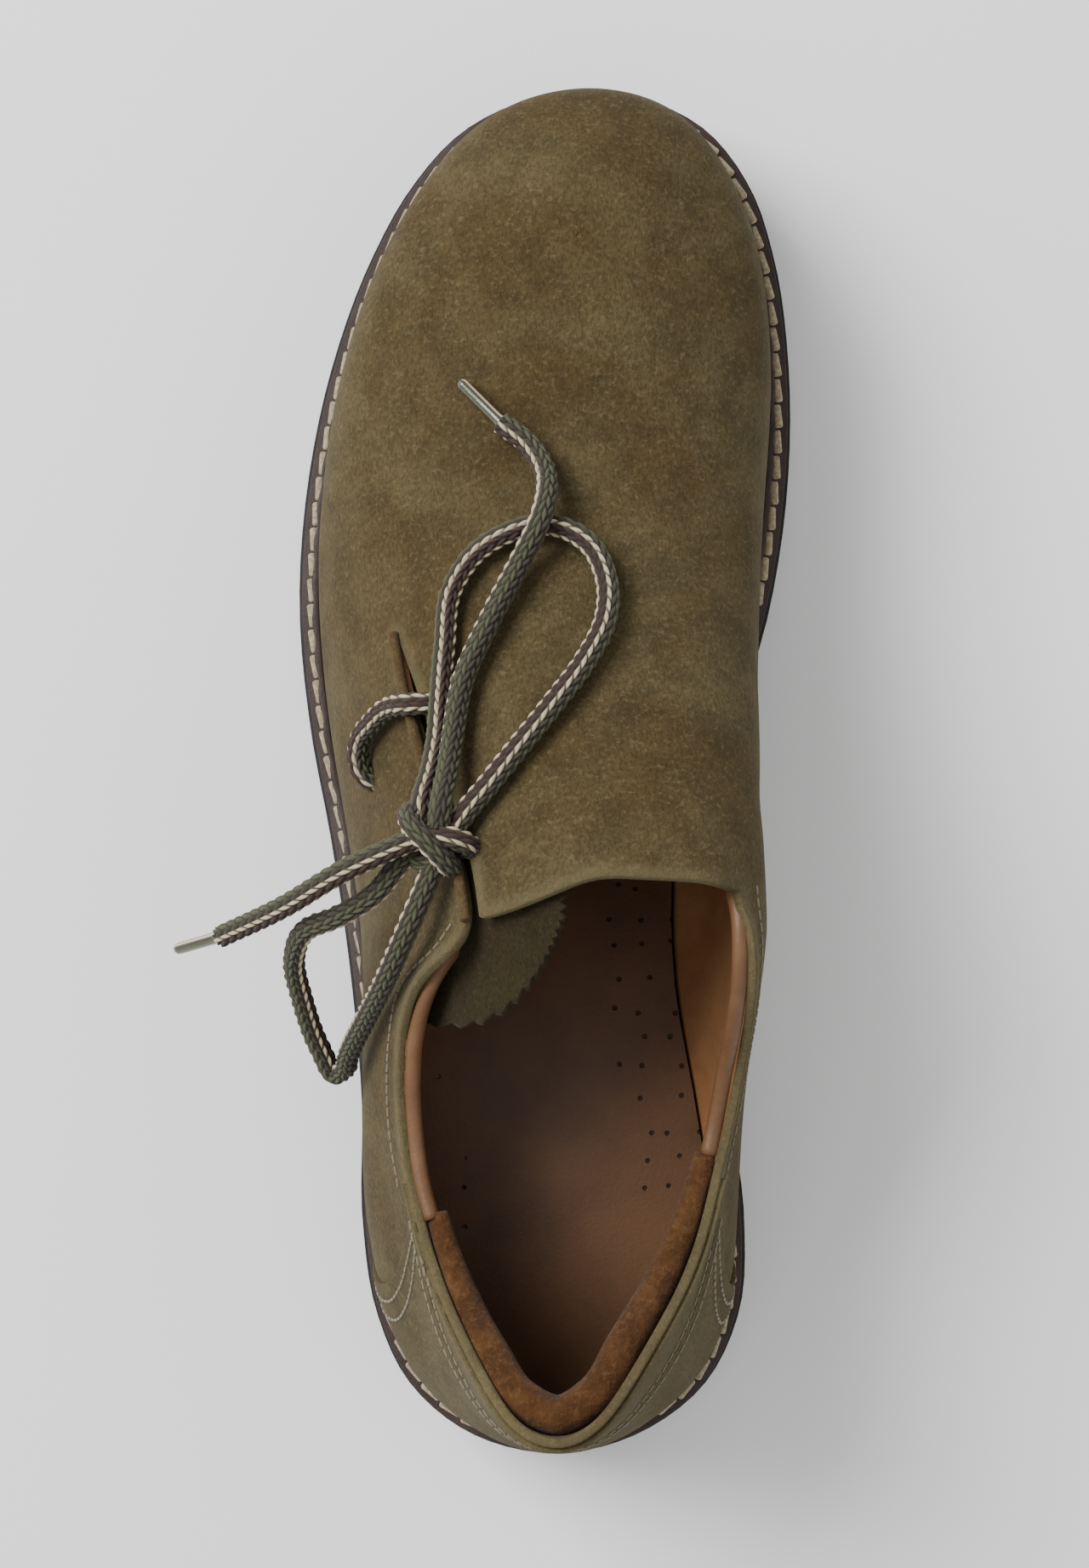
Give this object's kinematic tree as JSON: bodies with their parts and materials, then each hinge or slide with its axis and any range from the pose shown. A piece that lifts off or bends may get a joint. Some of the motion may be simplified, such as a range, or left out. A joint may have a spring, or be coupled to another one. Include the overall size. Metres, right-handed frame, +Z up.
{
  "type": "haferl shoe",
  "caption": "Low folk shoe for the left foot: plain suede upper laced at its outer side, on a lugged rubber sole with a stitched welt.",
  "frame": {"origin": "on the floor, under the middle of the sole's outline", "axes": "+Y from heel to toe, +X towards the inner side of the foot, +Z up"},
  "size_m": [0.1319, 0.298, 0.1077],
  "materials": {
    "suede": "matte napped suede",
    "rubber": "matte",
    "midsole": "satin edge",
    "rand_leather": "satin",
    "insole_leather": "satin",
    "lace": "braided, matte",
    "aglet": "clear sleeve"
  },
  "bodies": {
    "root": {"outsole": "rubber", "midsole": "midsole", "rand": "rand_leather", "upper": "suede", "heel_counter": "suede", "heel_tab": "suede", "tongue": "suede", "insole": "insole_leather", "lace_bar": "lace", "lace_knot": "lace", "lace_front_loop": "lace", "lace_front_end": "lace", "lace_back_loop": "lace", "lace_back_end": "lace", "aglet_front": "aglet", "aglet_back": "aglet"}
  },
  "joints": []
}
